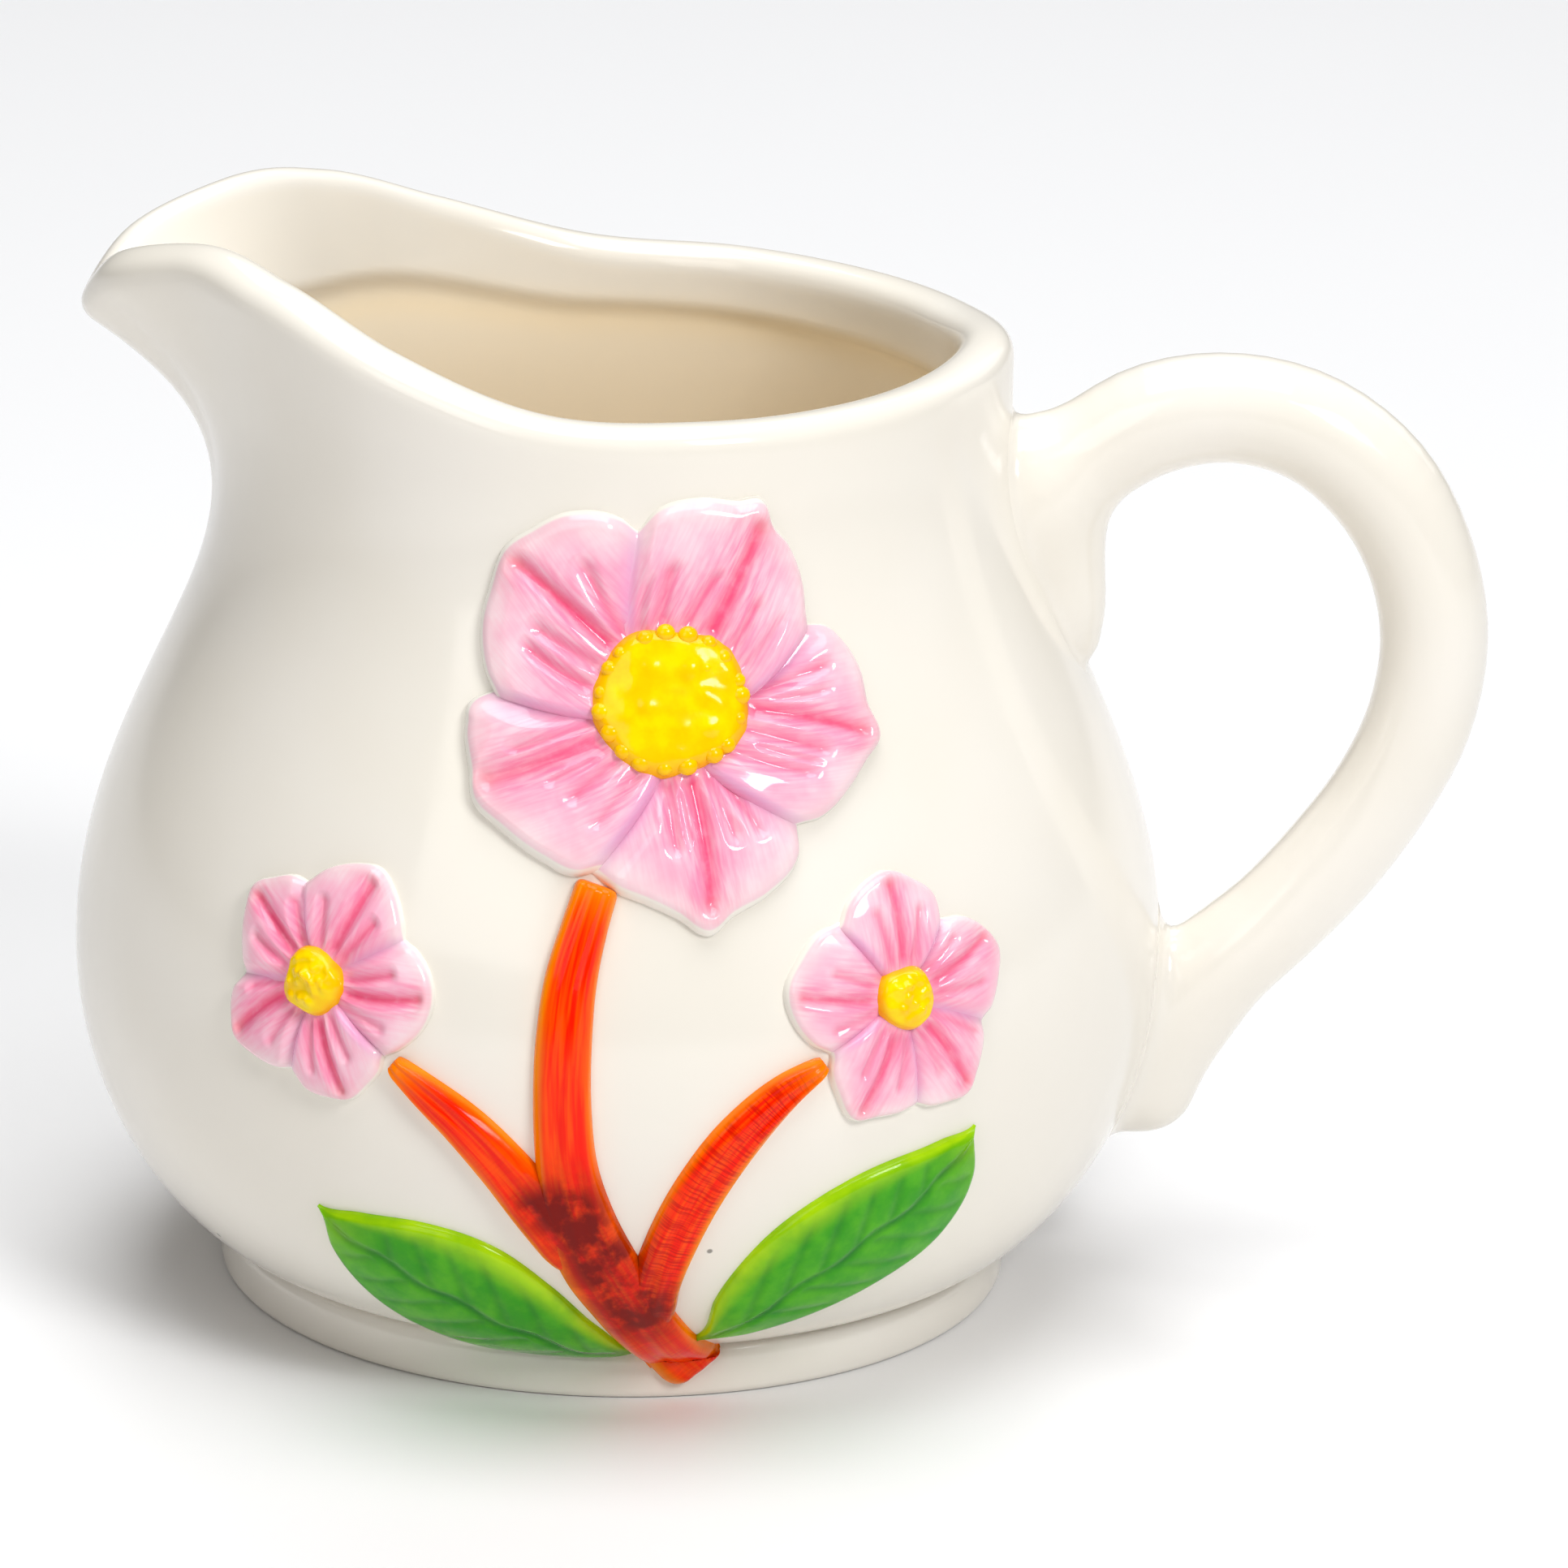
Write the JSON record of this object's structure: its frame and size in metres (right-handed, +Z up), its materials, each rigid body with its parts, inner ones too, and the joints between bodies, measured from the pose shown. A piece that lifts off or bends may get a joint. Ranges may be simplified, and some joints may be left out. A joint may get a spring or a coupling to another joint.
{
  "type": "cream jug",
  "caption": "Small round-bellied porcelain cream jug with a pulled spout, a loop handle and raised, hand-painted flowers, stems and leaves on one side.",
  "frame": {"origin": "centre of the foot ring's resting face", "axes": "+Z up, +X towards the handle, -X towards the spout, -Y out of the flowered side"},
  "size_m": [0.1195, 0.0941, 0.0916],
  "materials": {
    "porcelain": "glossy",
    "pink_glaze": "glossy",
    "yellow_glaze": "glossy",
    "bead_glaze": "glossy",
    "coral_glaze": "glossy",
    "green_glaze": "glossy"
  },
  "bodies": {
    "root": {"body": "porcelain", "spout": "porcelain", "foot_ring": "porcelain", "handle": "porcelain", "large_petal_1": "pink_glaze", "large_petal_2": "pink_glaze", "large_petal_3": "pink_glaze", "large_petal_4": "pink_glaze", "large_petal_5": "pink_glaze", "large_centre": "yellow_glaze", "large_beads": "bead_glaze", "left_petal_1": "pink_glaze", "left_petal_2": "pink_glaze", "left_petal_3": "pink_glaze", "left_petal_4": "pink_glaze", "left_petal_5": "pink_glaze", "left_centre": "yellow_glaze", "right_petal_1": "pink_glaze", "right_petal_2": "pink_glaze", "right_petal_3": "pink_glaze", "right_petal_4": "pink_glaze", "right_petal_5": "pink_glaze", "right_centre": "yellow_glaze", "trunk": "coral_glaze", "middle_stem": "coral_glaze", "left_stem": "coral_glaze", "right_stem": "coral_glaze", "left_leaf": "green_glaze", "right_leaf": "green_glaze"}
  },
  "joints": []
}
